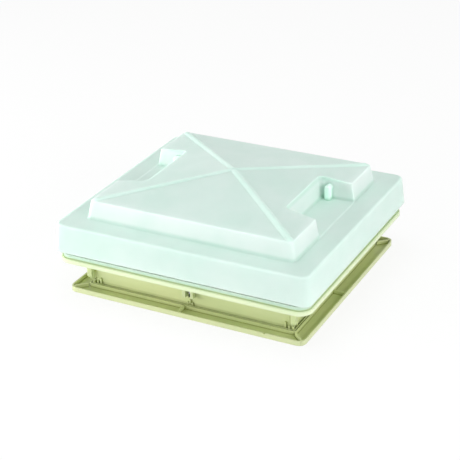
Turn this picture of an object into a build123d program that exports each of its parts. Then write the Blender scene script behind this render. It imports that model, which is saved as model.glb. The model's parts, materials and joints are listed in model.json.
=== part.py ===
from build123d import *
import os

os.makedirs("parts", exist_ok=True)

# Caravan rooflight with a dome that opens from either side.
# Millimetres, +Z up. The origin is the centre of the inner trim's underside, X runs
# between the two latched sides and -Y is the long side that faces the viewer.

# Roof cut-out: every outline is this rectangle grown or shrunk by a named margin
cutout_x = 360.0
cutout_y = 320.0
roof_thickness = 47.6

# Inner trim, olive moulding on the room side
trim_cover = 19.0
trim_corner = 12.0
trim_plate = 2.0
lip_height = 8.0
lip_wall = 2.5
channel_width = 19.5
rib_wall = 1.5
rib_gap = 1.5
rib_corner = 5.0
cross_rib_wall = 3.0
cross_rib_shift_x = 8.0
cross_rib_shift_y = 19.0
groove_width = 3.5
stud_radius = 1.4
stud_pitch = 7.0
stud_height = 12.0
fin_wall = 2.0
fin_reach = 3.0
fin_height = 17.0
fin_setback = 22.0
spigot_wall = 2.5
spigot_corner = 6.0
spigot_gap = 1.0
ledge_width = 14.0
screen_rim_wall = 2.5
screen_rim_height = 11.0
screen_rim_corner = 5.0
screw_pad_radius = 5.0
screw_pad_height = 6.0
lip_notch_x = 137.0
lip_notch_width = 3.0
lip_notch_depth = 1.5

# Roof frame, cream moulding on the roof
flange_cover = 30.5
flange_corner = 22.0
flange_thickness = 7.0
flange_edge = 1.4
seat_margin = 1.0
seat_step = 1.2
kerb_inset = 3.5
kerb_wall = 4.0
kerb_height = 6.4
upstand_margin = 10.0
upstand_wall = 3.0
upstand_height = 16.4
upstand_corner = 12.0
skirt_wall = 2.5
skirt_clearance = 0.5
skirt_depth = 15.6
post_width = 8.0
post_clearance = 2.0
post_depth = 42.0
post_taper = 7.0
guide_width = 18.0
guide_slot = 8.6
guide_depth = 33.0
window_low = 19.0
window_height = 17.0
tower_width = 9.0
tower_bite = 0.5
tower_depth = 27.6

# Dome seal on top of the upstand
seal_width = 5.0
seal_shift = 0.5
seal_height = 4.7
seal_air = 0.3

# Outer dome, opal moulding in two steps with a low pyramid on top
dome_cover = 34.0
dome_wall = 3.0
dome_overhang = 9.5
skirt_height = 44.5
skirt_draft = 4.0
skirt_corner = 14.0
tier_margin = -5.0
tier_draft = 6.0
tier_height = 28.8
tier_corner = 7.0
roof_rise = 21.9
apex_width = 8.0
ledge_edge = 4.0
tier_edge = 2.5
tier_foot = 3.0
ridge_radius = 8.0
ridge_proud = 2.1
ridge_stop = 12.0
pocket_inner_x = 117.0
pocket_wall_lean = 5.0
pocket_half_length = 63.5
pocket_flare = 7.5
pocket_end_lean = 3.0
pocket_floor = 0.8
pocket_corner = 7.0
pocket_foot = 3.0
pocket_reach = 15.0
lug_width = 10.0
lug_drop = 4.0
lug_reach = 13.0
lug_edge = 3.0
lug_x = 134.0
boss_radius = 4.0
boss_pitch_x = 140.0
boss_pitch_y = 120.0
boss_inset = 4.0

# Inner dome and the rim that carries both domes
liner_wall = 2.0
liner_margin = 12.0
liner_flange = 24.0
liner_height = 21.0
liner_draft = 8.0
liner_corner = 10.0
rim_margin = 22.0
rim_inner_margin = -20.0
rim_thickness = 3.0
rim_corner = 12.0
rod_lug_width = 6.0
rod_lug_radius = 6.0

# Hinge rods, lift arms and their pivots
rod_inset = 10.0
rod_drop = 10.0
rod_radius = 3.0
run_clearance = 0.06
free_clearance = 0.3
washer_clearance = 0.1
right_arm_wall = 3.0
right_arm_inset = 7.5
left_arm_wall = 2.8
left_arm_inset = 12.1
arm_radius = 6.0
left_pivot_setback = 14.0
left_arm_height = 13.0
left_arm_drop = 1.0
arm_edge = 2.5
pin_radius = 2.5
pin_head_radius = 4.0
pin_head = 1.0
washer_radius = 6.0
right_washer = 0.8
left_washer = 0.6
right_ear_wall = 3.0
left_ear_wall = 2.1
ear_half_width = 7.0
slot_inner_air = 0.4
slot_travel = 10.4
slot_drop = 1.9
slot_end_wall = 2.1
clip_thickness = 0.8
clip_radius = 4.8
saddle_width = 6.0
saddle_wall = 2.4
saddle_rise = 3.0
saddle_flare = 1.2
saddle_inset = 27.0
outer_lug_inset = 37.0
inner_lug_gap = 5.0

# Latch handles and their keepers
handle_half = 45.0
handle_radius = 6.0
grip_half = 42.0
grip_reach = 40.0
grip_wall = 4.0
grip_lip = 5.0
finger_half = 12.0
finger_radius = 10.5
finger_wall = 3.5
finger_angle = -50.0
keeper_leg_x = 11.0
keeper_leg_wall = 3.5
keeper_lip_reach = 2.5
keeper_under = -0.4
keeper_lip_wall = 2.0
keeper_half = 15.0
keeper_tab = 12.0
keeper_tab_wall = 2.0
keeper_tab_reach = 7.0

# Flyscreen
screen_clearance = 1.0
screen_lift = 1.0
screen_bar = 9.0
screen_height = 9.0
screen_corner = 5.0
pip_radius = 2.0
pip_reach = 2.0
mesh_thickness = 0.6
spline_width = 3.0
catch_length = 16.0
catch_reach = 3.5
catch_wall = 2.0

# Screws and caps
screw_radius = 1.75
screw_head_radius = 3.5
screw_head = 2.2
trim_screw_length = 38.0
trim_screw_x = 125.0
trim_screw_y = 115.0
cap_radius = 4.2
cap_wall = 1.0
rim_screw_grip = 14.0
keeper_screw_grip = 7.0

# Heights and places that follow from the sizes above
half_x = cutout_x / 2
half_y = cutout_y / 2
rib_edge = trim_cover - lip_wall - channel_width
inner_rib_edge = rib_edge - rib_wall - rib_gap
spigot_edge = inner_rib_edge - rib_wall - groove_width
skirt_edge = spigot_edge - spigot_wall - skirt_clearance
aperture_edge = skirt_edge - skirt_wall
screen_rim_edge = spigot_edge - spigot_wall - ledge_width
flange_z = lip_height + roof_thickness
shelf_z = flange_z + flange_thickness
upstand_top = shelf_z + upstand_height
rim_z = upstand_top + seal_height + seal_air
rim_top = rim_z + rim_thickness
liner_z = rim_top + liner_wall
dome_z = rim_z - dome_overhang
ledge_z = dome_z + skirt_height
tier_z = ledge_z + tier_height
apex_z = tier_z + roof_rise
pocket_z = ledge_z + pocket_floor
rod_x = half_x - rod_inset
rod_z = rim_z - rod_drop
left_pivot_x = rod_x - left_pivot_setback
right_arm_y = half_y - right_arm_inset
left_arm_y = half_y - left_arm_inset
saddle_y = half_y - saddle_inset
outer_lug_y = half_y - outer_lug_inset
inner_lug_y = handle_half + inner_lug_gap + rod_lug_width / 2
right_ear_y = right_arm_y + right_arm_wall / 2 + right_washer + 2 * washer_clearance
left_ear_y = left_arm_y - left_arm_wall / 2 - left_washer - 2 * washer_clearance
tower_x = half_x + aperture_edge + tower_bite - tower_width / 2
tower_y = half_y + aperture_edge + tower_bite - tower_width / 2
screen_edge = screen_rim_edge - screen_clearance
screen_axis_x = -(half_x + screen_edge - screen_height / 2)
screen_axis_z = screen_lift + screen_height / 2
rebate_edge = screen_edge - (screen_bar - spline_width) / 2
sides = (-1, 1)


def outline(margin, radius, mode=Mode.ADD):
    """Rounded rectangle that stands `margin` outside the roof cut-out."""
    RectangleRounded(cutout_x + 2 * margin, cutout_y + 2 * margin, radius, mode=mode)


def ring(margin, wall, radius):
    """Rounded rectangular wall, `wall` thick, whose outer face is at `margin`."""
    outline(margin, radius)
    outline(margin - wall, max(radius - wall, 2.0), mode=Mode.SUBTRACT)


def trim_screw_places():
    """The eight places, two a side, where a trim screw meets a screw tower."""
    places = [(sx * tower_x, sy * trim_screw_y) for sx in sides for sy in sides]
    return places + [(sx * trim_screw_x, sy * tower_y) for sx in sides for sy in sides]


def rim_screw_places():
    """The twelve places where a screw joins the rim, the inner dome and the outer dome."""
    edge_x = half_x + rim_margin - boss_inset
    edge_y = half_y + rim_margin - boss_inset
    along_y = (-boss_pitch_y, 0, boss_pitch_y)
    along_x = (-boss_pitch_x, 0, boss_pitch_x)
    places = [(side * edge_x, y) for side in sides for y in along_y]
    return places + [(x, side * edge_y) for side in sides for x in along_x]


def screw_outline(radius):
    """Round of a small screw, drawn with few sides; it touches the hole it is driven into."""
    RegularPolygon(radius, 12)


def disc(x, y0, y1, radius, mode=Mode.ADD):
    """Cylinder along Y at the height of the hinge rods, from y0 to y1."""
    with Locations(Location((x, (y0 + y1) / 2, rod_z), (90, 0, 0))):
        Cylinder(radius, abs(y1 - y0), mode=mode)


# Inner trim: face plate, lip, two ribs, cross ribs, spigot and the flyscreen rim
channel_x = half_x + rib_edge + channel_width / 2
channel_y = half_y + rib_edge + channel_width / 2
groove_x = half_x + spigot_edge + groove_width / 2
groove_y = half_y + spigot_edge + groove_width / 2
fin_corner_x = half_x - fin_setback
fin_corner_y = half_y - fin_setback
with BuildPart() as inner_trim:
    with BuildSketch():
        ring(trim_cover, trim_cover - screen_rim_edge, trim_corner)
    extrude(amount=trim_plate)
    with BuildSketch():
        ring(trim_cover, lip_wall, trim_corner)
        ring(rib_edge, rib_wall, rib_corner)
        ring(inner_rib_edge, rib_wall, rib_corner - rib_wall)
    extrude(amount=lip_height)
    with BuildSketch():
        ring(spigot_edge, spigot_wall, spigot_corner)
    extrude(amount=flange_z - spigot_gap)
    with BuildSketch():
        ring(screen_rim_edge + screen_rim_wall, screen_rim_wall, screen_rim_corner)
    extrude(amount=screen_rim_height)
    # cross ribs near mid-side, and one on each corner mitre
    with BuildSketch():
        for side in sides:
            with Locations((side * cross_rib_shift_x, side * channel_y)):
                Rectangle(cross_rib_wall, channel_width + lip_wall)
            with Locations((side * channel_x, -side * cross_rib_shift_y)):
                Rectangle(channel_width + lip_wall, cross_rib_wall)
            for end in sides:
                with Locations((side * channel_x, end * channel_y)):
                    Rectangle(1.3 * channel_width, cross_rib_wall, rotation=45 * side * end)
    extrude(amount=lip_height)
    # pairs of locating studs in the groove at mid-side
    with BuildSketch():
        with Locations((0, groove_y), (0, -groove_y)):
            with GridLocations(stud_pitch, 1, 2, 1):
                Circle(stud_radius)
        with Locations((groove_x, 0), (-groove_x, 0)):
            with GridLocations(1, stud_pitch, 1, 2):
                Circle(stud_radius)
        with GridLocations(2 * groove_x, 2 * groove_y, 2, 2):
            Circle(stud_radius)
        with GridLocations(2 * groove_x - 2 * stud_pitch, 2 * groove_y, 2, 2):
            Circle(stud_radius)
    extrude(amount=stud_height)
    # a fin on the spigot between each pair of studs, and one near each corner
    fin_x = half_x + spigot_edge + fin_reach / 2
    fin_y = half_y + spigot_edge + fin_reach / 2
    with BuildSketch():
        with GridLocations(fin_corner_x, 2 * fin_y, 3, 2):
            Rectangle(fin_wall, fin_reach)
        with GridLocations(2 * fin_x, fin_corner_y, 2, 3):
            Rectangle(fin_reach, fin_wall)
    extrude(amount=fin_height)
    # windows in the spigot behind the roof frame's guides
    for side in sides:
        with Locations((0, side * (half_y + spigot_edge), window_low + window_height / 2)):
            Box(guide_slot, 3 * spigot_wall, window_height, mode=Mode.SUBTRACT)
        with Locations((side * (half_x + spigot_edge), 0, window_low + window_height / 2)):
            Box(3 * spigot_wall, guide_slot, window_height, mode=Mode.SUBTRACT)
    # pads and counterbored holes for the trim screws
    with BuildSketch():
        with Locations(trim_screw_places()):
            Circle(screw_pad_radius)
    extrude(amount=screw_pad_height)
    with BuildSketch():
        with Locations(trim_screw_places()):
            Circle(cap_radius)
    extrude(amount=cap_wall + free_clearance + screw_head, mode=Mode.SUBTRACT)
    with BuildSketch():
        with Locations(trim_screw_places()):
            Circle(screw_radius + free_clearance)
    extrude(amount=screw_pad_height, mode=Mode.SUBTRACT)
    # sockets for the flyscreen's hinge pips
    with Locations(Location((screen_axis_x, 0, screen_axis_z), (90, 0, 0))):
        Cylinder(pip_radius + run_clearance, cutout_y + 2 * screen_rim_edge + 2 * screen_rim_wall,
                 mode=Mode.SUBTRACT)
    # drain notches in the lip
    for side in sides:
        with Locations((-side * lip_notch_x, side * (half_y + trim_cover), lip_height)):
            Box(lip_notch_width, 3 * lip_wall, 2 * lip_notch_depth, mode=Mode.SUBTRACT)
inner_trim.part.label = "inner_trim"
export_step(inner_trim.part, "parts/inner_trim.step")

# Roof frame: flange, kerb, upstand, telescoping skirt, guide posts and screw towers
post_x = half_x - post_clearance - post_width / 2
post_y = half_y - post_clearance - post_width / 2
keeper_screw_x = rod_x + keeper_leg_x + keeper_leg_wall / 2 - keeper_tab_reach
keeper_screw_y = keeper_half + keeper_tab / 2
with BuildPart() as roof_frame:
    with BuildSketch(Plane.XY.offset(shelf_z)):
        ring(flange_cover, flange_cover - aperture_edge, flange_corner)
    extrude(amount=seat_step - flange_thickness)
    chamfer(roof_frame.faces().sort_by(Axis.Z)[-1].outer_wire().edges(), flange_edge)
    # the seat that lies on the roof stops just outside the cut-out
    with BuildSketch(Plane.XY.offset(flange_z)):
        ring(flange_cover, flange_cover - seat_margin, flange_corner)
    extrude(amount=seat_step)
    with BuildSketch(Plane.XY.offset(shelf_z)):
        ring(flange_cover - kerb_inset, kerb_wall, flange_corner - kerb_inset)
    extrude(amount=kerb_height)
    with BuildSketch(Plane.XY.offset(shelf_z)):
        ring(upstand_margin, upstand_wall, upstand_corner)
    extrude(amount=upstand_height)
    with BuildSketch(Plane.XY.offset(shelf_z)):
        ring(skirt_edge, skirt_wall, spigot_corner - spigot_wall)
    extrude(amount=-skirt_depth - flange_thickness)
    # corner posts with pointed tips
    for side in sides:
        for end in sides:
            with BuildSketch(Plane.XY.offset(flange_z + seat_step)):
                with Locations((side * post_x, end * post_y)):
                    Rectangle(post_width, post_width)
            extrude(amount=post_taper - post_depth - seat_step)
            with BuildSketch(Plane.XY.offset(flange_z + post_taper - post_depth)):
                with Locations((side * post_x, end * post_y)):
                    Rectangle(post_width, post_width)
            with BuildSketch(Plane.XY.offset(flange_z - post_depth)):
                with Locations((side * (post_x - post_width / 4), end * (post_y - post_width / 4))):
                    Rectangle(post_width / 4, post_width / 4)
            loft()
    # mid-side guides: two legs either side of an open slot
    with BuildSketch(Plane.XY.offset(flange_z + seat_step)):
        with Locations((0, post_y), (0, -post_y)):
            Rectangle(guide_width, post_width)
            Rectangle(guide_slot, post_width, mode=Mode.SUBTRACT)
        with Locations((post_x, 0), (-post_x, 0)):
            Rectangle(post_width, guide_width)
            Rectangle(post_width, guide_slot, mode=Mode.SUBTRACT)
    extrude(amount=-guide_depth - seat_step)
    # screw towers inside the skirt
    with BuildSketch(Plane.XY.offset(shelf_z)):
        with Locations(trim_screw_places()):
            Rectangle(tower_width, tower_width)
    extrude(amount=-tower_depth - flange_thickness)
    with BuildSketch(Plane.XY.offset(flange_z - tower_depth)):
        with Locations(trim_screw_places()):
            Circle(screw_radius)
    extrude(amount=tower_depth, mode=Mode.SUBTRACT)
    # pilot holes for the keeper screws
    with BuildSketch(Plane.XY.offset(shelf_z)):
        with GridLocations(2 * keeper_screw_x, 2 * keeper_screw_y, 2, 2):
            Circle(screw_radius)
    extrude(amount=keeper_tab_wall - keeper_screw_grip, mode=Mode.SUBTRACT)
roof_frame.part.label = "roof_frame"
export_step(roof_frame.part, "parts/roof_frame.step")

# Dome seal: a bulb strip along the top of the upstand
seal_margin = upstand_margin - upstand_wall / 2 + seal_width / 2 + seal_shift
with BuildPart() as dome_seal:
    with BuildSketch(Plane.XY.offset(upstand_top)):
        ring(seal_margin, seal_width, upstand_corner + seal_margin - upstand_margin)
    extrude(amount=seal_height)
    chamfer(dome_seal.faces().sort_by(Axis.Z)[-1].edges(), seal_width / 4)
dome_seal.part.label = "dome_seal"
export_step(dome_seal.part, "parts/dome_seal.step")

# Trim screws: up through the trim's pads into the roof frame's towers
head_z = cap_wall + free_clearance
with BuildPart() as trim_screws:
    with BuildSketch(Plane.XY.offset(head_z)):
        with Locations(trim_screw_places()):
            screw_outline(screw_head_radius)
    extrude(amount=screw_head)
    with BuildSketch(Plane.XY.offset(head_z)):
        with Locations(trim_screw_places()):
            Rectangle(1.2 * screw_head_radius, 0.8)
            Rectangle(0.8, 1.2 * screw_head_radius)
    extrude(amount=screw_head / 2, mode=Mode.SUBTRACT)
    with BuildSketch(Plane.XY.offset(head_z + screw_head)):
        with Locations(trim_screw_places()):
            screw_outline(screw_radius)
    extrude(amount=trim_screw_length)
trim_screws.part.label = "trim_screws"
export_step(trim_screws.part, "parts/trim_screws.step")

# Screw caps pressed into the counterbores
with BuildPart() as screw_caps:
    with BuildSketch():
        with Locations(trim_screw_places()):
            Circle(cap_radius)
    extrude(amount=cap_wall)
screw_caps.part.label = "screw_caps"
export_step(screw_caps.part, "parts/screw_caps.step")

# Rod saddles: open cradles for the two hinge rods while their side is shut
slot_half = rod_radius + free_clearance
flare_half = slot_half + saddle_flare
saddle_height = rod_z + saddle_rise - shelf_z
with BuildPart() as rod_saddles:
    for side in sides:
        for end in sides:
            with BuildSketch(Plane.XZ.offset(-end * saddle_y - saddle_width / 2)):
                with Locations((side * rod_x, shelf_z + saddle_height / 2)):
                    Rectangle(2 * flare_half + 2 * saddle_wall, saddle_height)
                with Locations((side * rod_x, rod_z)):
                    Circle(slot_half, mode=Mode.SUBTRACT)
                    Polygon((-slot_half, 0), (slot_half, 0), (flare_half, saddle_rise),
                            (-flare_half, saddle_rise), align=None, mode=Mode.SUBTRACT)
            extrude(amount=saddle_width)
rod_saddles.part.label = "rod_saddles"
export_step(rod_saddles.part, "parts/rod_saddles.step")

# Pivot brackets: ears for the arm pivots, standing on the shelf
with BuildPart() as pivot_brackets:
    for end in sides:
        for pin_x, near_y, wall in (
            (-rod_x, right_ear_y, right_ear_wall),
            (left_pivot_x, left_ear_y - left_ear_wall, left_ear_wall),
        ):
            with BuildSketch(Plane.XZ.offset(-end * (near_y + wall / 2) - wall / 2)):
                with Locations((pin_x, (shelf_z + rod_z) / 2)):
                    Rectangle(2 * ear_half_width, rod_z - shelf_z)
                with Locations((pin_x, rod_z)):
                    Circle(ear_half_width)
                    Circle(pin_radius, mode=Mode.SUBTRACT)
            extrude(amount=wall)
pivot_brackets.part.label = "pivot_brackets"
export_step(pivot_brackets.part, "parts/pivot_brackets.step")

# Pivot pins with their heads
right_pin_y = right_arm_y - right_arm_wall / 2 - washer_clearance
right_pin_end = right_ear_y + right_ear_wall
left_pin_y = left_ear_y - left_ear_wall
left_pin_end = left_arm_y + left_arm_wall / 2 + 2 * washer_clearance
with BuildPart() as pivot_pins:
    for end in sides:
        disc(-rod_x, end * right_pin_y, end * right_pin_end, pin_radius)
        disc(-rod_x, end * right_pin_end, end * (right_pin_end + pin_head), pin_head_radius)
        disc(left_pivot_x, end * left_pin_y, end * left_pin_end, pin_radius)
        disc(left_pivot_x, end * left_pin_end, end * (left_pin_end + pin_head), pin_head_radius)
pivot_pins.part.label = "pivot_pins"
export_step(pivot_pins.part, "parts/pivot_pins.step")

# Friction washers between each arm and its bracket
right_washer_y = right_ear_y - washer_clearance
left_washer_y = left_ear_y + washer_clearance
with BuildPart() as friction_washers:
    for end in sides:
        disc(-rod_x, end * (right_washer_y - right_washer), end * right_washer_y, washer_radius)
        disc(left_pivot_x, end * left_washer_y, end * (left_washer_y + left_washer), washer_radius)
    disc(-rod_x, -half_y, half_y, pin_radius, mode=Mode.SUBTRACT)
    disc(left_pivot_x, -half_y, half_y, pin_radius, mode=Mode.SUBTRACT)
friction_washers.part.label = "friction_washers"
export_step(friction_washers.part, "parts/friction_washers.step")

# Latch keepers: hooked plates that the handles' fingers turn under
leg_in = keeper_leg_x
leg_out = keeper_leg_x + keeper_leg_wall
lip_tip = keeper_leg_x - keeper_lip_reach
lip_top = keeper_under + keeper_lip_wall
tab_length = keeper_leg_wall + keeper_tab_reach + screw_head_radius
tab_x = rod_x + leg_out - tab_length / 2
for name, side in (("keeper_left", -1), ("keeper_right", 1)):
    with BuildPart() as keeper:
        with BuildSketch(Plane.XZ.offset(-keeper_half)):
            with Locations((side * rod_x, rod_z)):
                Polygon(
                    (side * leg_out, shelf_z - rod_z),
                    (side * leg_out, lip_top),
                    (side * lip_tip, lip_top),
                    (side * lip_tip, keeper_under),
                    (side * leg_in, keeper_under),
                    (side * leg_in, shelf_z - rod_z),
                    align=None,
                )
        extrude(amount=2 * keeper_half)
        with BuildSketch(Plane.XY.offset(shelf_z)):
            with Locations((side * tab_x, keeper_screw_y), (side * tab_x, -keeper_screw_y)):
                Rectangle(tab_length, keeper_tab)
            with Locations((side * keeper_screw_x, keeper_screw_y), (side * keeper_screw_x, -keeper_screw_y)):
                Circle(screw_radius, mode=Mode.SUBTRACT)
        extrude(amount=keeper_tab_wall)
    keeper.part.label = name
    export_step(keeper.part, f"parts/{name}.step")

# Keeper screws
with BuildPart() as keeper_screws:
    with BuildSketch(Plane.XY.offset(shelf_z + keeper_tab_wall)):
        with GridLocations(2 * keeper_screw_x, 2 * keeper_screw_y, 2, 2):
            screw_outline(screw_head_radius)
    extrude(amount=screw_head)
    with BuildSketch(Plane.XY.offset(shelf_z + keeper_tab_wall)):
        with GridLocations(2 * keeper_screw_x, 2 * keeper_screw_y, 2, 2):
            screw_outline(screw_radius)
    extrude(amount=-keeper_screw_grip)
keeper_screws.part.label = "keeper_screws"
export_step(keeper_screws.part, "parts/keeper_screws.step")

# Screen catches: clips on the flyscreen rim above the free rail
catch_x = half_x + screen_rim_edge + screen_rim_wall - (screen_rim_wall + catch_reach) / 2
with BuildPart() as screen_catches:
    with BuildSketch(Plane.XY.offset(screen_rim_height)):
        with Locations((catch_x, half_y / 2), (catch_x, -half_y / 2)):
            Rectangle(screen_rim_wall + catch_reach, catch_length)
    extrude(amount=catch_wall)
screen_catches.part.label = "screen_catches"
export_step(screen_catches.part, "parts/screen_catches.step")

# Flyscreen frame: four rails, half-round on the hinge side, with two hinge pips
with BuildPart() as flyscreen_frame:
    with BuildSketch(Plane.XY.offset(screen_lift)):
        ring(screen_edge, screen_bar, screen_corner)
    extrude(amount=screen_height)
    with BuildSketch(Plane.XZ.offset(-half_y - screen_edge)):
        with Locations((screen_axis_x - screen_height / 2, screen_axis_z)):
            Rectangle(screen_height, screen_height)
        with Locations((screen_axis_x, screen_axis_z)):
            Circle(screen_height / 2, mode=Mode.SUBTRACT)
    extrude(amount=cutout_y + 2 * screen_edge, mode=Mode.SUBTRACT)
    # rebate for the mesh and its spline
    with BuildSketch(Plane.XY.offset(screen_axis_z)):
        ring(rebate_edge, screen_bar, screen_corner)
    extrude(amount=screen_height, mode=Mode.SUBTRACT)
    # hinge pips
    pip_length = screen_bar / 3 + screen_clearance + pip_reach
    pip_y = half_y + screen_edge - screen_bar / 3 + pip_length / 2
    for end in sides:
        with Locations(Location((screen_axis_x, end * pip_y, screen_axis_z), (90, 0, 0))):
            Cylinder(pip_radius, pip_length)
flyscreen_frame.part.label = "flyscreen_frame"
export_step(flyscreen_frame.part, "parts/flyscreen_frame.step")

# Flyscreen mesh, held flat in the rebate
with BuildPart() as flyscreen_mesh:
    with BuildSketch(Plane.XY.offset(screen_axis_z)):
        outline(rebate_edge, screen_corner)
    extrude(amount=mesh_thickness)
flyscreen_mesh.part.label = "flyscreen_mesh"
export_step(flyscreen_mesh.part, "parts/flyscreen_mesh.step")

# Mesh spline pressed into the rebate over the mesh
with BuildPart() as mesh_spline:
    with BuildSketch(Plane.XY.offset(screen_axis_z + mesh_thickness)):
        ring(rebate_edge, spline_width, screen_corner)
    extrude(amount=screen_height / 2 - mesh_thickness - free_clearance)
mesh_spline.part.label = "mesh_spline"
export_step(mesh_spline.part, "parts/mesh_spline.step")

# Right hinge rod, carried by the right lift arms
right_clip_y = right_arm_y + right_arm_wall / 2 + free_clearance
right_rod_end = right_clip_y + clip_thickness + 2 * free_clearance
with BuildPart() as right_rod:
    disc(rod_x, -right_rod_end, right_rod_end, rod_radius)
right_rod.part.label = "right_rod"
export_step(right_rod.part, "parts/right_rod.step")

# Right lift arms: pivoted on the left side, they lift the right hinge rod
for name, end in (("right_arm_front", -1), ("right_arm_rear", 1)):
    with BuildPart() as right_arm:
        with BuildSketch(Plane.XZ.offset(-end * right_arm_y - right_arm_wall / 2)):
            with Locations((0, rod_z)):
                SlotCenterToCenter(2 * rod_x, 2 * arm_radius)
            with Locations((-rod_x, rod_z)):
                Circle(pin_radius + run_clearance, mode=Mode.SUBTRACT)
            with Locations((rod_x, rod_z)):
                Circle(rod_radius, mode=Mode.SUBTRACT)
        extrude(amount=right_arm_wall)
    right_arm.part.label = name
    export_step(right_arm.part, f"parts/{name}.step")

# Clips that keep the right rod in its arms
with BuildPart() as right_rod_clips:
    for end in sides:
        disc(rod_x, end * right_clip_y, end * (right_clip_y + clip_thickness), clip_radius)
    disc(rod_x, -half_y, half_y, rod_radius, mode=Mode.SUBTRACT)
right_rod_clips.part.label = "right_rod_clips"
export_step(right_rod_clips.part, "parts/right_rod_clips.step")

# Left lift arms: pivoted on the right side, slotted for the left hinge rod
slot_in = rod_x - rod_radius - slot_inner_air
slot_out = rod_x + slot_travel + rod_radius + free_clearance
slot_top = rod_radius + free_clearance
slot_low = rod_radius + slot_drop + free_clearance
arm_length = left_pivot_x + slot_out + slot_end_wall
for name, end in (("left_arm_front", -1), ("left_arm_rear", 1)):
    with BuildPart() as left_arm:
        with BuildSketch(Plane.XZ.offset(-end * left_arm_y - left_arm_wall / 2)):
            with Locations((left_pivot_x - arm_length / 2, rod_z - left_arm_drop)):
                RectangleRounded(arm_length, left_arm_height, arm_edge)
            with Locations((left_pivot_x, rod_z)):
                Circle(arm_radius)
                Circle(pin_radius + run_clearance, mode=Mode.SUBTRACT)
            with Locations((-(slot_in + slot_out) / 2, rod_z + (slot_top - slot_low) / 2)):
                RectangleRounded(slot_out - slot_in, slot_top + slot_low, rod_radius, mode=Mode.SUBTRACT)
        extrude(amount=left_arm_wall)
    left_arm.part.label = name
    export_step(left_arm.part, f"parts/{name}.step")

# Left hinge rod, held by the dome rim
left_clip_y = left_arm_y + left_arm_wall / 2 + free_clearance
left_rod_end = left_clip_y + clip_thickness + free_clearance / 2
with BuildPart() as left_rod:
    disc(-rod_x, -left_rod_end, left_rod_end, rod_radius)
left_rod.part.label = "left_rod"
export_step(left_rod.part, "parts/left_rod.step")

# Clips that keep the left rod in its arms
with BuildPart() as left_rod_clips:
    for end in sides:
        disc(-rod_x, end * left_clip_y, end * (left_clip_y + clip_thickness), clip_radius)
    disc(-rod_x, -half_y, half_y, rod_radius, mode=Mode.SUBTRACT)
left_rod_clips.part.label = "left_rod_clips"
export_step(left_rod_clips.part, "parts/left_rod_clips.step")

# Dome rim: flat ring under the domes with the lugs that hold the hinge rods
with BuildPart() as dome_rim:
    with BuildSketch(Plane.XY.offset(rim_z)):
        ring(rim_margin, rim_margin - rim_inner_margin, rim_corner)
        with Locations(rim_screw_places()):
            Circle(screw_radius, mode=Mode.SUBTRACT)
    extrude(amount=rim_thickness)
    for side, clearance in ((-1, 0), (1, run_clearance)):
        for lug_y in (-outer_lug_y, -inner_lug_y, inner_lug_y, outer_lug_y):
            with BuildSketch(Plane.XZ.offset(-lug_y - rod_lug_width / 2)):
                with Locations((side * rod_x, (rod_z + rim_z) / 2)):
                    Rectangle(2 * rod_lug_radius, rim_z - rod_z)
                with Locations((side * rod_x, rod_z)):
                    Circle(rod_lug_radius)
                    Circle(rod_radius + clearance, mode=Mode.SUBTRACT)
            extrude(amount=rod_lug_width)
dome_rim.part.label = "dome_rim"
export_step(dome_rim.part, "parts/dome_rim.step")

# Inner dome: the clear liner under the outer dome
with BuildPart() as dome_inner:
    with BuildSketch(Plane.XY.offset(rim_top)):
        outline(liner_margin, liner_corner)
    with BuildSketch(Plane.XY.offset(liner_z + liner_height)):
        outline(liner_margin - liner_draft, liner_corner)
    loft()
    with BuildSketch(Plane.XY.offset(rim_top)):
        outline(liner_flange, rim_corner)
    extrude(amount=liner_wall)
    with BuildSketch(Plane.XY.offset(rim_top)):
        outline(liner_margin - liner_wall, liner_corner - liner_wall)
    with BuildSketch(Plane.XY.offset(liner_z + liner_height - liner_wall)):
        outline(liner_margin - liner_draft - liner_wall, liner_corner - liner_wall)
    loft(mode=Mode.SUBTRACT)
    with BuildSketch(Plane.XY.offset(rim_top)):
        with Locations(rim_screw_places()):
            Circle(screw_radius)
    extrude(amount=liner_wall, mode=Mode.SUBTRACT)
dome_inner.part.label = "dome_inner"
export_step(dome_inner.part, "parts/dome_inner.step")


def dome_form(inset):
    """Solid two-step dome body, `inset` inside the outer surface, whose edges stay sharp inside."""
    with BuildPart() as form:
        with BuildSketch(Plane.XY.offset(dome_z)):
            outline(dome_cover - inset, skirt_corner - inset)
        with BuildSketch(Plane.XY.offset(ledge_z - inset)):
            outline(dome_cover - skirt_draft - inset, skirt_corner - inset)
        loft()
        if not inset:
            fillet(form.faces().sort_by(Axis.Z)[-1].edges(), ledge_edge)
        with BuildSketch(Plane.XY.offset(ledge_z - 2 * dome_wall)):
            outline(tier_margin - inset, tier_corner - inset)
        with BuildSketch(Plane.XY.offset(tier_z - inset)):
            outline(tier_margin - tier_draft - inset, tier_corner - inset)
        loft()
        if not inset:
            level = form.edges().filter_by_position(Axis.Z, ledge_z - 0.01, ledge_z + 0.01)
            foot = [e for e in level if abs(e.center().X) < half_x and abs(e.center().Y) < half_y]
            fillet(foot, tier_foot)
        with BuildSketch(Plane.XY.offset(tier_z - inset)):
            outline(tier_margin - tier_draft - inset, tier_corner - inset)
        with BuildSketch(Plane.XY.offset(apex_z - inset)):
            RectangleRounded(apex_width, apex_width * cutout_y / cutout_x, apex_width / 4)
        loft()
        if not inset:
            fillet(form.edges().filter_by_position(Axis.Z, tier_z - 0.01, tier_z + 0.01), tier_edge)
    return form.part


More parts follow.
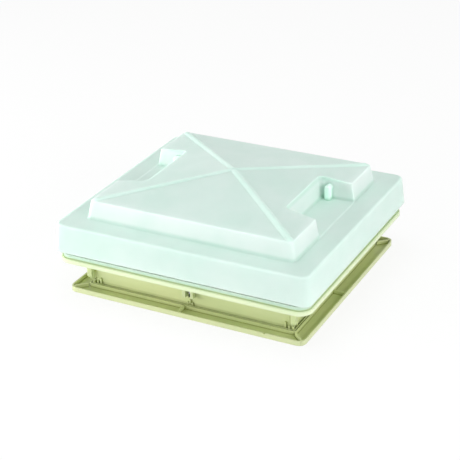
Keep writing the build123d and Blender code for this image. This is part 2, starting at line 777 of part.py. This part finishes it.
def pocket_form(grow):
    """Handhold pocket on the right side, widened by `grow`, with its inner corners rounded."""
    far_x = half_x + tier_margin + pocket_reach
    with BuildPart() as form:
        for level, wall_lean, end_lean in (
            (pocket_z - grow, pocket_wall_lean, pocket_end_lean),
            (tier_z + roof_rise / 2, 0, 0),
        ):
            near_x = pocket_inner_x + wall_lean - grow
            near_y = pocket_half_length - end_lean + grow
            far_y = near_y + pocket_flare
            with BuildSketch(Plane.XY.offset(level)):
                Polygon((near_x, -near_y), (far_x, -far_y), (far_x, far_y), (near_x, near_y), align=None)
        loft()
        near = [e for e in form.edges() if e.center().X < pocket_inner_x + pocket_wall_lean + 1]
        fillet([e for e in near if abs(e.center().Y) > pocket_half_length / 2], pocket_corner + grow)
        foot = form.faces().sort_by(Axis.Z)[0].edges()
        fillet([e for e in foot if e.center().X < far_x - 1], pocket_foot + grow)
    return form.part


# Outer dome: shell with two handhold pockets, hip ridges, pocket lugs and screw bosses
corner_x = half_x + tier_margin - tier_draft
corner_y = half_y + tier_margin - tier_draft
pocket_right = pocket_form(0)
pocket_skin = pocket_form(dome_wall)
with BuildPart() as dome_core:
    add(dome_form(dome_wall))
    add(pocket_skin, mode=Mode.SUBTRACT)
    add(pocket_skin.mirror(Plane.YZ), mode=Mode.SUBTRACT)
lug_top = tier_z - lug_drop - lug_width / 2
lug_share = (lug_x - pocket_inner_x) / (half_x + tier_margin + pocket_reach - pocket_inner_x)
lug_back = pocket_half_length + pocket_flare * lug_share + dome_wall / 2
lug_depth = lug_reach + dome_wall / 2
with BuildPart() as lug:
    with BuildSketch(Plane.XZ.offset(-lug_back)):
        with Locations((lug_x, lug_top)):
            Circle(lug_width / 2)
        with Locations((lug_x, (pocket_z + lug_top) / 2)):
            Rectangle(lug_width, lug_top - pocket_z)
    extrude(amount=lug_depth)
    tip = lug.faces().sort_by(Axis.Y)[0].edges()
    fillet([e for e in tip if e.center().Z > pocket_z + lug_edge], lug_edge)
with BuildPart() as dome_outer:
    add(dome_form(0))
    # hip ridges from the apex towards the corners, with round ends
    peak = Vector(0, 0, apex_z + ridge_proud - ridge_radius)
    for side in sides:
        for end in sides:
            run = Vector(side * corner_x, end * corner_y, tier_z - apex_z)
            length = run.length - ridge_stop
            with BuildSketch(Plane(origin=peak - run.normalized() * dome_wall, z_dir=run)):
                Circle(ridge_radius)
            extrude(amount=length + dome_wall)
            with Locations(peak + run.normalized() * length):
                Sphere(ridge_radius)
    add(pocket_right, mode=Mode.SUBTRACT)
    add(pocket_right.mirror(Plane.YZ), mode=Mode.SUBTRACT)
    add(dome_core.part, mode=Mode.SUBTRACT)
    # arched lugs on the pockets' end walls
    for turn in (lug.part, lug.part.mirror(Plane.YZ)):
        add(turn)
        add(turn.mirror(Plane.XZ))
    # bosses for the rim screws
    with BuildSketch(Plane.XY.offset(liner_z)):
        with Locations(rim_screw_places()):
            Circle(boss_radius)
    extrude(amount=ledge_z - dome_wall / 2 - liner_z)
    with BuildSketch(Plane.XY.offset(liner_z)):
        with Locations(rim_screw_places()):
            Circle(screw_radius)
    extrude(amount=rim_screw_grip, mode=Mode.SUBTRACT)
dome_outer.part.label = "dome_outer"
export_step(dome_outer.part, "parts/dome_outer.step")

# Rim screws: up through the rim and the inner dome into the dome's bosses
with BuildPart() as rim_screws:
    with BuildSketch(Plane.XY.offset(rim_z)):
        with Locations(rim_screw_places()):
            screw_outline(screw_head_radius)
    extrude(amount=-screw_head)
    with BuildSketch(Plane.XY.offset(rim_z)):
        with Locations(rim_screw_places()):
            screw_outline(screw_radius)
    extrude(amount=rim_thickness + liner_wall + rim_screw_grip)
rim_screws.part.label = "rim_screws"
export_step(rim_screws.part, "parts/rim_screws.step")

# Latch handles: hub on the hinge rod, grip reaching inwards, finger reaching outwards
for name, side in (("left_handle", -1), ("right_handle", 1)):
    with BuildPart() as handle:
        with BuildSketch(Plane.XZ.offset(-grip_half)):
            with Locations((side * (rod_x - grip_reach / 2), rod_z)):
                Rectangle(grip_reach, grip_wall)
            with Locations((side * (rod_x - grip_reach + grip_wall / 2), rod_z - grip_lip / 2)):
                Rectangle(grip_wall, grip_lip)
        extrude(amount=2 * grip_half)
        with BuildSketch(Plane.XZ.offset(-finger_half)):
            with Locations((side * rod_x, rod_z)):
                Polygon(
                    (0, -finger_wall / 2),
                    (finger_radius, -finger_wall / 2),
                    (finger_radius, finger_wall / 2),
                    (0, finger_wall / 2),
                    align=None,
                    rotation=finger_angle if side > 0 else 180 - finger_angle,
                )
        extrude(amount=2 * finger_half)
        disc(side * rod_x, -handle_half, handle_half, handle_radius)
        disc(side * rod_x, -half_y, half_y, rod_radius + run_clearance, mode=Mode.SUBTRACT)
    handle.part.label = name
    export_step(handle.part, f"parts/{name}.step")
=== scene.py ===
"""Caravan rooflight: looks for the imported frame, laid out as a Blender add-on."""
import json
import math

import bmesh
import bpy
from bpy.props import FloatProperty, FloatVectorProperty, PointerProperty
from mathutils import Matrix, Vector


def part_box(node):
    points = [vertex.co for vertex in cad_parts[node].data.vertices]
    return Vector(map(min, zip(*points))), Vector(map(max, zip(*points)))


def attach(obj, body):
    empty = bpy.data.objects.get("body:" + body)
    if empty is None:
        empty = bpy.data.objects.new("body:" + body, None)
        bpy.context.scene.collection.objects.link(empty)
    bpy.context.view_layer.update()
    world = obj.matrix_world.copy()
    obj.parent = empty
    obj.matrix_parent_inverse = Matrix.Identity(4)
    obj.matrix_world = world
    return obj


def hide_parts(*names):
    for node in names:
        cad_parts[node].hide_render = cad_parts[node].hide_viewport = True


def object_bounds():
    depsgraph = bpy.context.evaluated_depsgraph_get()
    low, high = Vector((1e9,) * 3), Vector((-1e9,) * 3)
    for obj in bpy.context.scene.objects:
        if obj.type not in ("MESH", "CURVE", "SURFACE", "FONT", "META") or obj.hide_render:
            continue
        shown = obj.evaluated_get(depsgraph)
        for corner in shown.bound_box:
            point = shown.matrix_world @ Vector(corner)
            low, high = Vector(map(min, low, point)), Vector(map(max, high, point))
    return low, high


bl_info = {
    "name": "Caravan rooflight",
    "version": (1, 0, 0),
    "blender": (4, 5, 0),
    "location": "View3D > Sidebar > Rooflight",
    "description": "Dresses a caravan rooflight with its plastics, metals, net and studio",
    "category": "Object",
}

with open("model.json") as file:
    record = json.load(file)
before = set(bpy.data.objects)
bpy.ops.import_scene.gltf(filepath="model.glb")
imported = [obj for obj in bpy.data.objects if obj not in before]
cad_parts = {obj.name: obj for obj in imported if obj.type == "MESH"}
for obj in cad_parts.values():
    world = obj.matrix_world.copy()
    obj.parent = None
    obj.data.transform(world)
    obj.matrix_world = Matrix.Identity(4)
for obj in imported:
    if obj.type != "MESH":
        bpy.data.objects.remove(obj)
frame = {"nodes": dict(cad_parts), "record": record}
CAD_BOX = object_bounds()
NODES = frame["nodes"]
MOUNT_Z = {mount["name"]: mount["pos_m"][2] for mount in frame["record"]["mounts"]}
MM_PER_M = 1000

# where the trim's tray with its painted shade ends, and where the roof frame turns from painted olive
# shade to cream and then to a painted mint reflection
TRAY_TOP_Z = MOUNT_Z["trim_lip"] + 0.003
SEAT_Z = MOUNT_Z["roof_seat"]
KERB_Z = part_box("keeper_left")[0][2] + 0.001
BAND_BLEND = 0.0012

# the walls of the dome's upper step, from above the ledge to the foot of the pyramid, which get a
# painted highlight
STEP_FOOT_Z = 0.1230
STEP_EDGE_Z = 0.1475
STEP_BLEND = 0.003

PLASTIC_IOR = 1.49
RUBBER_IOR = 1.5
NET_IOR = 1.5
BLOTCH_MM = 60.0
FLOW_SHADE = (0.93, 0.965, 0.95, 1.0)
# drawing lines on steel: how fine the streaks are along x, y and z, per metre
DRAWN_STREAKS = (60.0, 4.0, 2500.0)

# the net's grid of faces, and the height of the weave's wave above which there is thread
NET_COLUMNS = 54
NET_ROWS = 46
THREAD_LEVEL = 0.55

FLOOR_SIZE = 12.0
FLOOR_GAP = 0.0005
FLOOR_WHITE_SHARE = 0.85
SKY_STRENGTH = 0.5
LAMP_AIM = Vector((0, 0, 0.08))
# name, place, width, height, power in watts
LAMPS = (
    ("left_light", (-1.90, -0.40, 0.25), 1.2, 0.4, 21.0),
    ("front_light", (-0.95, -1.15, 0.30), 0.8, 0.5, 9.6),
    ("right_light", (2.00, -0.70, 0.80), 1.3, 1.3, 27.0),
    ("top_light", (-0.30, 0.20, 2.40), 1.8, 1.8, 18.5),
)

# the viewing angle, in degrees, and the lens, in millimetres
CAMERA_AZIMUTH = 28.02
CAMERA_ELEVATION = 26.66
CAMERA_ROLL = -1.66
CAMERA_AIM = Vector((0.01544, -0.04597, 0.08882))
CAMERA_DISTANCE = 2.0209
CAMERA_LENS = 102.97
CAMERA_SENSOR = 36.0


def linear(code):
    """An sRGB hex code as a linear colour."""
    parts = [int(code[i:i + 2], 16) / 255 for i in (1, 3, 5)]
    return [c / 12.92 if c <= 0.04045 else ((c + 0.055) / 1.055) ** 2.4 for c in parts] + [1.0]


WHITE = linear("#FFFFFF")


def add_node(tree, kind, sockets=(), **settings):
    """Adds one shader node; sockets maps an input to a value or to another node's output."""
    made = tree.nodes.new(kind)
    for key, value in settings.items():
        setattr(made, key, value)
    for key, value in dict(sockets).items():
        if isinstance(value, bpy.types.NodeSocket):
            tree.links.new(value, made.inputs[key])
        else:
            made.inputs[key].default_value = value
    return made


def new_material(name):
    """An empty material and its tree."""
    made = bpy.data.materials.new(name)
    made.use_nodes = True
    made.node_tree.nodes.clear()
    return made, made.node_tree


def white_to_rays(tree):
    """1 for the rays that see a plain white room: camera, glossy and transmission. 0 for the rest."""
    rays = add_node(tree, "ShaderNodeLightPath").outputs
    plain = add_node(tree, "ShaderNodeMath", {0: rays["Is Camera Ray"], 1: rays["Is Glossy Ray"]},
                     operation="MAXIMUM")
    white = add_node(tree, "ShaderNodeMath", {0: plain.outputs["Value"], 1: rays["Is Transmission Ray"]},
                     operation="MAXIMUM")
    return white.outputs["Value"]


def moulded_plastic(name, colour, roughness, grain_mm, grain_depth, coat=0.0, subsurface=0.0,
                    edge_highlight=0.06, edge_mm=0.5, gloss=0.5, painted_light_bands=(), blend=BAND_BLEND,
                    crease_shade="#B8BDB4", crease_shade_mm=6.0):
    """Moulded plastic: fine spark-eroded grain, faint flow blotches, painted highlights on outer
    corners, painted shade in creases, and painted light and shade by height.
    """
    made, tree = new_material(name)
    place = add_node(tree, "ShaderNodeTexCoord").outputs["Object"]
    height = add_node(tree, "ShaderNodeSeparateXYZ", {"Vector": place}).outputs["Z"]
    base = colour
    for start_z, tint in painted_light_bands:
        # painted light or shade: the plastic turns to this colour above start_z
        share = add_node(tree, "ShaderNodeMapRange",
                         {"Value": height, "From Min": start_z - blend, "From Max": start_z + blend},
                         interpolation_type="SMOOTHSTEP")
        banded = add_node(tree, "ShaderNodeMix",
                          {"Factor": share.outputs["Result"], "A": base, "B": tint}, data_type="RGBA")
        base = banded.outputs["Result"]
    # painted shade: inner corners are darkened by how closed in they are, as where less light reaches
    # them
    shelter = add_node(tree, "ShaderNodeAmbientOcclusion", {"Distance": crease_shade_mm / MM_PER_M},
                       samples=8, only_local=True)
    crease_shade_share = add_node(tree, "ShaderNodeMapRange",
                       {"Value": shelter.outputs["AO"], "From Min": 0.30, "From Max": 0.90,
                        "To Min": 1.0, "To Max": 0.0})
    crease_shade_tone = add_node(tree, "ShaderNodeMix", {"Factor": 1.0, "A": base, "B": linear(crease_shade)},
                     data_type="RGBA", blend_type="MULTIPLY")
    creased = add_node(tree, "ShaderNodeMix",
                       {"Factor": crease_shade_share.outputs["Result"], "A": base, "B": crease_shade_tone.outputs["Result"]},
                       data_type="RGBA")
    base = creased.outputs["Result"]
    # flow blotches: the colour drifts by a few per cent over the width of a hand
    blotch = add_node(tree, "ShaderNodeTexNoise",
                      {"Vector": place, "Scale": MM_PER_M / BLOTCH_MM, "Detail": 2.0, "Roughness": 0.5})
    drift = add_node(tree, "ShaderNodeMapRange",
                     {"Value": blotch.outputs["Fac"], "From Min": 0.35, "From Max": 0.65,
                      "To Min": 0.0, "To Max": 1.0})
    shade = add_node(tree, "ShaderNodeMix", {"Factor": 1.0, "A": base, "B": FLOW_SHADE},
                     data_type="RGBA", blend_type="MULTIPLY")
    tone = add_node(tree, "ShaderNodeMix",
                    {"Factor": drift.outputs["Result"], "A": base, "B": shade.outputs["Result"]},
                    data_type="RGBA")
    # painted highlight: outer corners are painted a shade paler, as where they catch the light
    shape = add_node(tree, "ShaderNodeNewGeometry")
    edge_highlight_share = add_node(tree, "ShaderNodeMapRange",
                    {"Value": shape.outputs["Pointiness"], "From Min": 0.52, "From Max": 0.60,
                     "To Min": 0.0, "To Max": edge_highlight * 4})
    paler = add_node(tree, "ShaderNodeMix",
                     {"Factor": edge_highlight_share.outputs["Result"], "A": tone.outputs["Result"], "B": WHITE},
                     data_type="RGBA")
    # grain: spark-eroded texture, and a longer ripple from shrinkage
    grain = add_node(tree, "ShaderNodeTexNoise",
                     {"Vector": place, "Scale": MM_PER_M / grain_mm, "Detail": 3.0, "Roughness": 0.6})
    ripple = add_node(tree, "ShaderNodeTexNoise", {"Vector": place, "Scale": 18.0, "Detail": 1.0})
    # moulded corners are never sharp: the light rolls round them
    rolled = add_node(tree, "ShaderNodeBevel", {"Radius": edge_mm / MM_PER_M}, samples=4)
    fine = add_node(tree, "ShaderNodeBump",
                    {"Height": grain.outputs["Fac"], "Strength": 0.25,
                     "Distance": grain_depth / MM_PER_M, "Normal": rolled.outputs["Normal"]})
    wavy = add_node(tree, "ShaderNodeBump",
                    {"Height": ripple.outputs["Fac"], "Strength": 0.15, "Distance": 0.002,
                     "Normal": fine.outputs["Normal"]})
    rough = add_node(tree, "ShaderNodeMapRange",
                     {"Value": grain.outputs["Fac"], "From Min": 0.3, "From Max": 0.7,
                      "To Min": roughness - 0.05, "To Max": roughness + 0.05})
    skin = add_node(tree, "ShaderNodeBsdfPrincipled",
                    {"Base Color": paler.outputs["Result"], "Roughness": rough.outputs["Result"],
                     "Normal": wavy.outputs["Normal"], "IOR": PLASTIC_IOR,
                     "Coat Weight": coat, "Coat Roughness": 0.12, "Specular IOR Level": gloss,
                     "Subsurface Weight": subsurface, "Subsurface Scale": 0.012,
                     "Subsurface Radius": (0.9, 1.0, 0.95)})
    add_node(tree, "ShaderNodeOutputMaterial", {"Surface": skin.outputs["BSDF"]})
    return made


def zinc_steel():
    """Zinc plated mild steel, drawn or pressed: grey satin, faint drawing lines, blue-grey blotches."""
    made, tree = new_material("zinc_plated_steel")
    place = add_node(tree, "ShaderNodeTexCoord").outputs["Object"]
    stretch = add_node(tree, "ShaderNodeMapping", {"Vector": place, "Scale": DRAWN_STREAKS})
    lines = add_node(tree, "ShaderNodeTexNoise",
                     {"Vector": stretch.outputs["Vector"], "Scale": 1.0, "Detail": 2.0})
    patch = add_node(tree, "ShaderNodeTexVoronoi", {"Vector": place, "Scale": 160.0},
                     feature="SMOOTH_F1")
    tone = add_node(tree, "ShaderNodeMix",
                    {"Factor": patch.outputs["Distance"], "A": linear("#B9BCBE"),
                     "B": linear("#9FA5AA")}, data_type="RGBA")
    bump = add_node(tree, "ShaderNodeBump",
                    {"Height": lines.outputs["Fac"], "Strength": 0.2, "Distance": 0.0002})
    rough = add_node(tree, "ShaderNodeMapRange",
                     {"Value": lines.outputs["Fac"], "To Min": 0.28, "To Max": 0.45})
    skin = add_node(tree, "ShaderNodeBsdfPrincipled",
                    {"Base Color": tone.outputs["Result"], "Metallic": 1.0,
                     "Roughness": rough.outputs["Result"], "Normal": bump.outputs["Normal"]})
    add_node(tree, "ShaderNodeOutputMaterial", {"Surface": skin.outputs["BSDF"]})
    return made


def extruded_rubber(name, base):
    """Extruded EPDM rubber: nearly black and matt, with fine pores and a dusty bloom."""
    made, tree = new_material(name)
    place = add_node(tree, "ShaderNodeTexCoord").outputs["Object"]
    bloom = add_node(tree, "ShaderNodeTexNoise", {"Vector": place, "Scale": 90.0, "Detail": 4.0})
    tone = add_node(tree, "ShaderNodeMix",
                    {"Factor": bloom.outputs["Fac"], "A": linear(base), "B": linear("#34353A")},
                    data_type="RGBA")
    pores = add_node(tree, "ShaderNodeTexNoise", {"Vector": place, "Scale": 2200.0, "Detail": 2.0})
    bump = add_node(tree, "ShaderNodeBump",
                    {"Height": pores.outputs["Fac"], "Strength": 0.3, "Distance": 0.0002})
    skin = add_node(tree, "ShaderNodeBsdfPrincipled",
                    {"Base Color": tone.outputs["Result"], "Roughness": 0.72,
                     "Normal": bump.outputs["Normal"], "IOR": RUBBER_IOR})
    add_node(tree, "ShaderNodeOutputMaterial", {"Surface": skin.outputs["BSDF"]})
    return made


def clear_acrylic():
    """Vacuum formed clear acrylic: see-through with a slight haze and a soft ripple."""
    made, tree = new_material("clear_acrylic")
    place = add_node(tree, "ShaderNodeTexCoord").outputs["Object"]
    ripple = add_node(tree, "ShaderNodeTexNoise", {"Vector": place, "Scale": 14.0, "Detail": 1.0})
    bump = add_node(tree, "ShaderNodeBump",
                    {"Height": ripple.outputs["Fac"], "Strength": 0.1, "Distance": 0.002})
    haze = add_node(tree, "ShaderNodeTexNoise", {"Vector": place, "Scale": 40.0, "Detail": 4.0})
    rough = add_node(tree, "ShaderNodeMapRange",
                     {"Value": haze.outputs["Fac"], "To Min": 0.12, "To Max": 0.28})
    skin = add_node(tree, "ShaderNodeBsdfPrincipled",
                    {"Base Color": linear("#E9F3EE"), "Roughness": rough.outputs["Result"],
                     "Normal": bump.outputs["Normal"], "IOR": PLASTIC_IOR,
                     "Transmission Weight": 0.85})
    add_node(tree, "ShaderNodeOutputMaterial", {"Surface": skin.outputs["BSDF"]})
    return made


def woven_net(pitch):
    """Woven glass-fibre insect net: dark threads with open squares between them."""
    made, tree = new_material("woven_net")
    place = add_node(tree, "ShaderNodeTexCoord").outputs["Object"]
    axes = add_node(tree, "ShaderNodeSeparateXYZ", {"Vector": place})
    threads = []
    for axis in ("X", "Y"):
        turn = add_node(tree, "ShaderNodeMath", {0: axes.outputs[axis], 1: 2 * math.pi / pitch},
                        operation="MULTIPLY")
        wave = add_node(tree, "ShaderNodeMath", {0: turn.outputs["Value"]}, operation="COSINE")
        threads.append(wave.outputs["Value"])
    high = add_node(tree, "ShaderNodeMath", {0: threads[0], 1: threads[1]}, operation="MAXIMUM")
    solid = add_node(tree, "ShaderNodeMath", {0: high.outputs["Value"], 1: THREAD_LEVEL},
                     operation="GREATER_THAN")
    bump = add_node(tree, "ShaderNodeBump",
                    {"Height": high.outputs["Value"], "Strength": 0.6, "Distance": 0.0003})
    skin = add_node(tree, "ShaderNodeBsdfPrincipled",
                    {"Base Color": linear("#3A3D3C"), "Roughness": 0.6,
                     "Normal": bump.outputs["Normal"], "Alpha": solid.outputs["Value"],
                     "IOR": NET_IOR})
    add_node(tree, "ShaderNodeOutputMaterial", {"Surface": skin.outputs["BSDF"]})
    return made


def dress(names, material):
    """Gives CAD nodes a finish."""
    for name in names:
        for slot in NODES[name].material_slots:
            slot.material = material


class RooflightColours(bpy.types.PropertyGroup):
    """Colours a user would change."""

    dome: FloatVectorProperty(name="Dome", description="Opal dome colour", subtype="COLOR", size=3,
                              default=linear("#D1F1E2")[:3])
    frame: FloatVectorProperty(name="Roof frame", description="Roof frame colour", subtype="COLOR",
                               size=3, default=linear("#D6E2B8")[:3])
    trim: FloatVectorProperty(name="Trim", description="Inner trim colour", subtype="COLOR", size=3,
                              default=linear("#D2D9A3")[:3])


class RooflightSizes(bpy.types.PropertyGroup):
    """Sizes a user would change."""

    # a real net's threads stand a little closer, too fine to show in the render
    net_pitch: FloatProperty(name="Net pitch", description="Spacing of the net's threads",
                             unit="LENGTH", default=0.0018)
    net_sag: FloatProperty(name="Net sag", description="How far the net hangs at its middle",
                           unit="LENGTH", default=0.0008)


class DressDome(bpy.types.Operator):
    """Opal outer dome, clear inner dome and the rim under them"""

    bl_idname = "rooflight.dome"
    bl_label = "Dome"

    def execute(self, context):
        # cast opal acrylic: milky, glossy, light spreads a few millimetres inside
        # the step's walls are painted paler than its flats: a painted highlight
        milk = list(context.scene.rooflight_colours.dome) + [1.0]
        opal = moulded_plastic("opal_acrylic", milk, 0.32, 1.2, 0.05, coat=0.05, gloss=0.3,
                               subsurface=0.8, edge_highlight=0.015, edge_mm=1.6, crease_shade="#D8E6E0",
                               crease_shade_mm=7.0, blend=STEP_BLEND,
                               painted_light_bands=((STEP_FOOT_Z, linear("#E2F9EF")), (STEP_EDGE_Z, milk)))
        dress(["dome_outer"], opal)
        dress(["dome_inner"], clear_acrylic())
        rim = moulded_plastic("white_abs", linear("#DCE6D6"), 0.42, 0.8, 0.08)
        dress(["dome_rim"], rim)
        return {"FINISHED"}


class DressFrame(bpy.types.Operator):
    """Cream roof frame, its seal and the latch keepers"""

    bl_idname = "rooflight.frame"
    bl_label = "Roof frame"

    def execute(self, context):
        # cream ABS, cream at its rim; below the flange painted olive shade, as bounce from the trim, and
        # on the kerb under the dome a painted mint reflection of it
        rim_cream = list(context.scene.rooflight_colours.frame) + [1.0]
        cream = moulded_plastic("cream_abs", linear("#C6CF9C"), 0.38, 0.8, 0.08, subsurface=0.3,
                                edge_highlight=0.015, edge_mm=0.8, crease_shade="#C6CEAE", crease_shade_mm=4.0,
                                painted_light_bands=((SEAT_Z, rim_cream), (KERB_Z, linear("#C4DECA"))))
        dress(["roof_frame"], cream)
        dress(["dome_seal"], extruded_rubber("epdm_rubber", "#1B1C1E"))
        nylon = moulded_plastic("dark_nylon", linear("#3A3C3E"), 0.5, 0.6, 0.1)
        dress(["rod_saddles", "keeper_left", "keeper_right", "friction_washers"], nylon)
        return {"FINISHED"}


class DressTrim(bpy.types.Operator):
    """Olive inner trim with its caps and catches"""

    bl_idname = "rooflight.trim"
    bl_label = "Inner trim"

    def execute(self, context):
        # olive ABS: the tray and its lip are painted a shade duller than the telescoping wall, as
        # painted shade
        wall_olive = list(context.scene.rooflight_colours.trim) + [1.0]
        olive = moulded_plastic("olive_abs", linear("#C5CC93"), 0.40, 0.8, 0.08, edge_highlight=0.03,
                                crease_shade="#A8AC5A", crease_shade_mm=2.5, painted_light_bands=((TRAY_TOP_Z, wall_olive),))
        dress(["inner_trim", "screw_caps", "screen_catches"], olive)
        return {"FINISHED"}


class DressMechanism(bpy.types.Operator):
    """Rods, lift arms, brackets, screws and handles"""

    bl_idname = "rooflight.mechanism"
    bl_label = "Lift mechanism"

    def execute(self, context):
        dress(["trim_screws", "keeper_screws", "rim_screws", "pivot_brackets", "pivot_pins",
               "right_rod", "right_arm_front", "right_arm_rear", "right_rod_clips",
               "left_rod", "left_arm_front", "left_arm_rear", "left_rod_clips"], zinc_steel())
        grip = moulded_plastic("grey_nylon", linear("#B9BDB4"), 0.45, 0.7, 0.1, edge_mm=1.0)
        dress(["left_handle", "right_handle"], grip)
        return {"FINISHED"}


class MakeNet(bpy.types.Operator):
    """Flyscreen frame, spline and the stretched net"""

    bl_idname = "rooflight.net"
    bl_label = "Flyscreen"

    def execute(self, context):
        sizes = context.scene.rooflight_sizes
        screen = moulded_plastic("cream_abs_screen", linear("#DDE2C2"), 0.42, 0.8, 0.08)
        dress(["flyscreen_frame"], screen)
        dress(["mesh_spline"], extruded_rubber("spline_rubber", "#202123"))
        low, high = (Vector(corner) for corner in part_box("flyscreen_mesh"))
        span = high - low
        centre = (low + high) / 2
        mesh = bpy.data.meshes.new("flyscreen_net")
        form = bmesh.new()
        # size 0.5 gives a grid from -0.5 to 0.5, which is then spread over the opening
        bmesh.ops.create_grid(form, x_segments=NET_COLUMNS, y_segments=NET_ROWS, size=0.5)
        for vert in form.verts:
            u, v = vert.co.x * 2, vert.co.y * 2
            sag = sizes.net_sag * (1 - u * u) * (1 - v * v)
            vert.co = Vector((centre.x + vert.co.x * span.x, centre.y + vert.co.y * span.y,
                              centre.z - sag))
        form.to_mesh(mesh)
        form.free()
        net = bpy.data.objects.new("flyscreen_net", mesh)
        context.scene.collection.objects.link(net)
        net.data.materials.append(woven_net(sizes.net_pitch))
        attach(net, "flyscreen")
        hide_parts("flyscreen_mesh")
        return {"FINISHED"}


def lay_floor(scene):
    """A pale paper floor that looks white and keeps the object's shadow."""
    mesh = bpy.data.meshes.new("studio_floor")
    form = bmesh.new()
    bmesh.ops.create_grid(form, x_segments=1, y_segments=1, size=FLOOR_SIZE)
    form.to_mesh(mesh)
    form.free()
    floor = bpy.data.objects.new("studio_floor", mesh)
    floor.location.z = CAD_BOX[0][2] - FLOOR_GAP
    scene.collection.objects.link(floor)
    paper, tree = new_material("white_paper")
    matt = add_node(tree, "ShaderNodeBsdfDiffuse", {"Color": linear("#F8F9F8")})
    glow = add_node(tree, "ShaderNodeEmission", {"Color": WHITE, "Strength": 1.0})
    seen = add_node(tree, "ShaderNodeMath", {0: white_to_rays(tree), 1: FLOOR_WHITE_SHARE},
                    operation="MULTIPLY")
    mix = add_node(tree, "ShaderNodeMixShader",
                   {0: seen.outputs["Value"], 1: matt.outputs["BSDF"], 2: glow.outputs["Emission"]})
    add_node(tree, "ShaderNodeOutputMaterial", {"Surface": mix.outputs["Shader"]})
    mesh.materials.append(paper)


def paint_sky(scene):
    """A soft white world: dim for light, full white for what the camera and the gloss see."""
    world = bpy.data.worlds.new("studio_sky")
    scene.world = world
    world.use_nodes = True
    tree = world.node_tree
    tree.nodes.clear()
    dim = add_node(tree, "ShaderNodeBackground", {"Color": WHITE, "Strength": SKY_STRENGTH})
    full = add_node(tree, "ShaderNodeBackground", {"Color": WHITE, "Strength": 1.0})
    mix = add_node(tree, "ShaderNodeMixShader",
                   {0: white_to_rays(tree), 1: dim.outputs["Background"],
                    2: full.outputs["Background"]})
    add_node(tree, "ShaderNodeOutputWorld", {"Surface": mix.outputs["Shader"]})


def hang_lamps(scene):
    """Four soft boxes, aimed at the object."""
    for name, place, width, height, power in LAMPS:
        lamp = bpy.data.lights.new(name, "AREA")
        lamp.shape = "RECTANGLE"
        lamp.size = width
        lamp.size_y = height
        lamp.energy = power
        held = bpy.data.objects.new(name, lamp)
        held.location = place
        aim = LAMP_AIM - Vector(place)
        held.rotation_euler = aim.to_track_quat("-Z", "Y").to_euler()
        # diffused light: the gloss shows the white room and not the lamps
        held.visible_glossy = False
        scene.collection.objects.link(held)


def set_camera(scene):
    """The camera, at the photograph's viewing angle."""
    azimuth, elevation, roll = (math.radians(angle) for angle in
                                (CAMERA_AZIMUTH, CAMERA_ELEVATION, CAMERA_ROLL))
    back = Vector((math.sin(azimuth) * math.cos(elevation), -math.cos(azimuth) * math.cos(elevation),
                   math.sin(elevation)))
    side = Vector((math.cos(azimuth), math.sin(azimuth), 0))
    rise = back.cross(side)
    right = side * math.cos(roll) + rise * math.sin(roll)
    up = rise * math.cos(roll) - side * math.sin(roll)
    place = CAMERA_AIM + back * CAMERA_DISTANCE
    lens = bpy.data.cameras.new("photo_camera")
    lens.sensor_width = CAMERA_SENSOR
    lens.lens = CAMERA_LENS
    camera = bpy.data.objects.new("photo_camera", lens)
    turn = Matrix((right, up, back)).transposed().to_4x4()
    camera.matrix_world = Matrix.Translation(place) @ turn
    scene.collection.objects.link(camera)
    scene.camera = camera


class SetStage(bpy.types.Operator):
    """Pale floor, soft studio light and the camera"""

    bl_idname = "rooflight.stage"
    bl_label = "Stage"

    def execute(self, context):
        scene = context.scene
        lay_floor(scene)
        paint_sky(scene)
        hang_lamps(scene)
        set_camera(scene)
        scene.view_settings.view_transform = "Standard"
        return {"FINISHED"}


GROUPS = (RooflightColours, RooflightSizes)
OPERATORS = (DressDome, DressFrame, DressTrim, DressMechanism, MakeNet, SetStage)


class RooflightPanel(bpy.types.Panel):
    """The rooflight's steps and settings"""

    bl_idname = "VIEW3D_PT_rooflight"
    bl_label = "Rooflight"
    bl_space_type = "VIEW_3D"
    bl_region_type = "UI"
    bl_category = "Rooflight"

    def draw(self, context):
        for step in OPERATORS:
            self.layout.operator(step.bl_idname)
        for group in (context.scene.rooflight_sizes, context.scene.rooflight_colours):
            for name in group.__annotations__:
                self.layout.prop(group, name)


CLASSES = GROUPS + OPERATORS + (RooflightPanel,)


def register():
    for kind in CLASSES:
        bpy.utils.register_class(kind)
    bpy.types.Scene.rooflight_colours = PointerProperty(type=RooflightColours)
    bpy.types.Scene.rooflight_sizes = PointerProperty(type=RooflightSizes)


def unregister():
    del bpy.types.Scene.rooflight_sizes
    del bpy.types.Scene.rooflight_colours
    for kind in reversed(CLASSES):
        bpy.utils.unregister_class(kind)


def main():
    register()
    bpy.ops.rooflight.dome()
    bpy.ops.rooflight.frame()
    bpy.ops.rooflight.trim()
    bpy.ops.rooflight.mechanism()
    bpy.ops.rooflight.net()
    bpy.ops.rooflight.stage()


if __name__ == "__main__":
    main()
